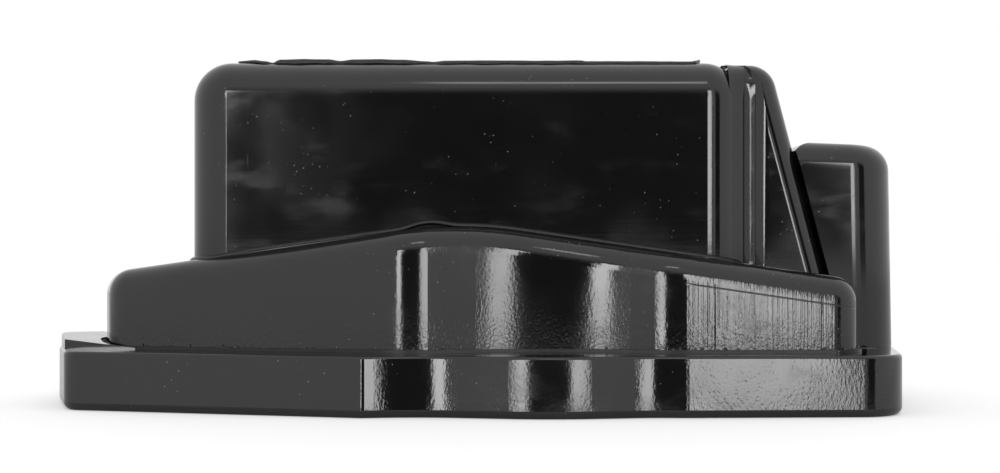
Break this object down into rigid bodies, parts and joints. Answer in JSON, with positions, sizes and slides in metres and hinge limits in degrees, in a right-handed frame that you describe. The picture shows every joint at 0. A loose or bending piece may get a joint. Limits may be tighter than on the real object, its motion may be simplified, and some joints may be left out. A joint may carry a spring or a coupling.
{
  "type": "cleat horn",
  "caption": "Moulded pull-up cleat head standing on its scalloped cap, with arched neck, rounded shank, side ramp and guide post.",
  "frame": {"origin": "middle of the cap's outer face, under the middle of the overall length and width", "axes": "+X along the shank towards the guide post, +Y away from the picture's camera, +Z from the cap up to the end of the shank"},
  "size_m": [0.155, 0.0716, 0.0632],
  "materials": {
    "cap_gloss": "moulded black plastic, glossy, faint orange peel and rub marks",
    "rest_gloss": "moulded black plastic, glossy flat top",
    "neck_gloss": "moulded black plastic with fine vertical tool lines",
    "shank_gloss": "moulded black plastic, high gloss with faint lengthwise polish lines",
    "ramp_gloss": "moulded black plastic, glossy",
    "post_gloss": "moulded black plastic, glossy",
    "seal_black": "thin black elastomer, slightly torn bead",
    "strip_black": "thin black cut strip with a wavy edge",
    "core_filler": "moulded filler",
    "stainless": "turned stainless",
    "brass": "turned brass"
  },
  "bodies": {
    "root": {"cap_plate": "cap_gloss", "core_plate": "stainless", "plate_screws": "stainless", "rest_pad": "rest_gloss", "seam_seal": "seal_black", "neck_body": "neck_gloss", "neck_screws": "stainless", "dowel_pins": "stainless", "lip_seal": "seal_black", "shank_shell": "shank_gloss", "shank_core": "core_filler", "core_studs": "stainless", "stud_sleeves": "stainless", "stud_washers": "stainless", "stud_nuts": "stainless", "end_pad": "strip_black", "side_ramp": "ramp_gloss", "ramp_screws": "stainless", "ramp_inserts": "brass", "guide_post": "post_gloss", "post_screws": "stainless", "post_inserts": "brass"}
  },
  "joints": []
}
